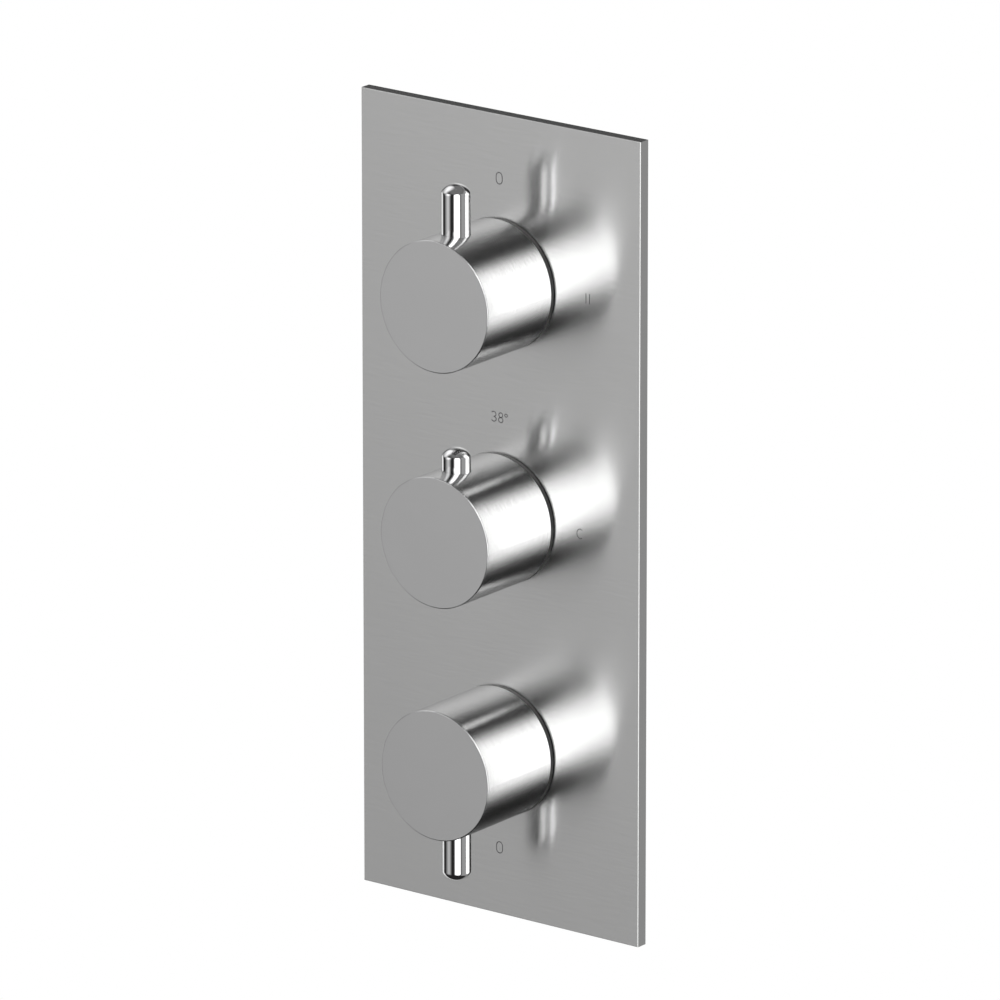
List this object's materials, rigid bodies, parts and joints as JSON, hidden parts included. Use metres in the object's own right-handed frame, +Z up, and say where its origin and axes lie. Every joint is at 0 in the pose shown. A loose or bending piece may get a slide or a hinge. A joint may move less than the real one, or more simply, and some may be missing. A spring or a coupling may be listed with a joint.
{
  "type": "concealed thermostatic shower valve",
  "caption": "Tall rectangular brushed plate with round drum handles that carry pin levers, over a concealed brass mixing body with threaded inlets and outlets.",
  "frame": {"origin": "middle of the face plate's outline, on the finished wall plane that the plate rests against", "axes": "+X to the right seen from the front, +Z up, +Y into the wall; the handles stand out along -Y"},
  "size_m": [0.12, 0.0929, 0.288],
  "materials": {
    "plate_steel": "brushed stainless steel with the brush lines running across the plate",
    "knob_steel": "turned and finely brushed round the drum, with a flat satin front",
    "pin_chrome": "polished chrome plate",
    "plated_brass": "satin nickel plate",
    "brass": "machined brass",
    "cast_brass": "fine sand-cast brass, machined at its openings",
    "copper": "drawn copper",
    "spring_steel": "drawn stainless wire and punched sheet",
    "screw_steel": "stainless steel",
    "ceramic": "lapped white ceramic",
    "white_plastic": "moulded acetal plastic",
    "rubber": "black rubber",
    "foam": "closed-cell foam"
  },
  "bodies": {
    "root": {"face_plate": "plate_steel", "plate_gasket": "foam", "clamp_rings": "plated_brass", "clamp_washers": "rubber", "stop_ring": "white_plastic", "valve_body": "cast_brass", "gland_nuts": "brass", "gallery_plugs": "brass", "flow_cartridge_housings": "brass", "fixed_discs": "ceramic", "disc_seals": "rubber", "thermostat_housing": "brass", "thermostat_o_rings": "rubber", "return_spring_seat": "brass", "return_spring": "spring_steel", "inlet_filters": "spring_steel", "check_valve_housings": "white_plastic", "hot_poppet_spring": "spring_steel", "cold_poppet_spring": "spring_steel"},
    "top_handle": {"top_knob": "knob_steel", "top_lever_pin": "pin_chrome", "top_moving_disc": "ceramic", "top_grub_screw": "screw_steel", "top_adapter": "brass", "top_adapter_screw": "screw_steel", "top_spindle": "brass", "top_spindle_seals": "rubber"},
    "bottom_handle": {"bottom_knob": "knob_steel", "bottom_lever_pin": "pin_chrome", "bottom_moving_disc": "ceramic", "bottom_grub_screw": "screw_steel", "bottom_adapter": "brass", "bottom_adapter_screw": "screw_steel", "bottom_spindle": "brass", "bottom_spindle_seals": "rubber"},
    "temperature_handle": {"temperature_knob": "knob_steel", "button_spring": "spring_steel", "temperature_grub_screw": "screw_steel", "temperature_adapter": "brass", "temperature_adapter_screw": "screw_steel", "temperature_spindle": "brass", "temperature_spindle_seals": "rubber"},
    "stop_button": {"stop_release_button": "pin_chrome"},
    "thermostat_slide": {"setting_nut": "brass", "overload_spring": "spring_steel", "wax_element": "copper", "shuttle": "white_plastic"},
    "hot_check": {"hot_poppet": "white_plastic"},
    "cold_check": {"cold_poppet": "white_plastic"}
  },
  "joints": [
    {"name": "top_flow", "type": "hinge", "parent": "root", "child": "top_handle", "pos_m": [0, 0, 0.084], "axis": [0, 1, 0], "range_deg": [0, 90]},
    {"name": "bottom_flow", "type": "hinge", "parent": "root", "child": "bottom_handle", "pos_m": [0, 0, -0.084], "axis": [0, 1, 0], "range_deg": [0, 90]},
    {"name": "temperature", "type": "hinge", "parent": "root", "child": "temperature_handle", "pos_m": [0, 0, 0], "axis": [0, 1, 0], "range_deg": [-90, 90]},
    {"name": "stop_release", "type": "slide", "parent": "temperature_handle", "child": "stop_button", "axis": [0, 0, -1], "range_m": [0, 0.0025], "stiffness_N_per_m": 800, "springref_m": -0.002, "deforming": ["button_spring"]},
    {"name": "thermostat", "type": "slide", "parent": "root", "child": "thermostat_slide", "axis": [0, 1, 0], "range_m": [-0.0011, 0.0011], "deforming": ["return_spring"]},
    {"name": "hot_check_lift", "type": "slide", "parent": "root", "child": "hot_check", "axis": [0, 0, 1], "range_m": [0, 0.003], "stiffness_N_per_m": 150, "springref_m": -0.004, "deforming": ["hot_poppet_spring"]},
    {"name": "cold_check_lift", "type": "slide", "parent": "root", "child": "cold_check", "axis": [0, 0, 1], "range_m": [0, 0.003], "stiffness_N_per_m": 150, "springref_m": -0.004, "deforming": ["cold_poppet_spring"]}
  ],
  "couplings": [
    {"joint": "thermostat", "follows": "temperature", "m_per_rad": 0.00063662}
  ]
}
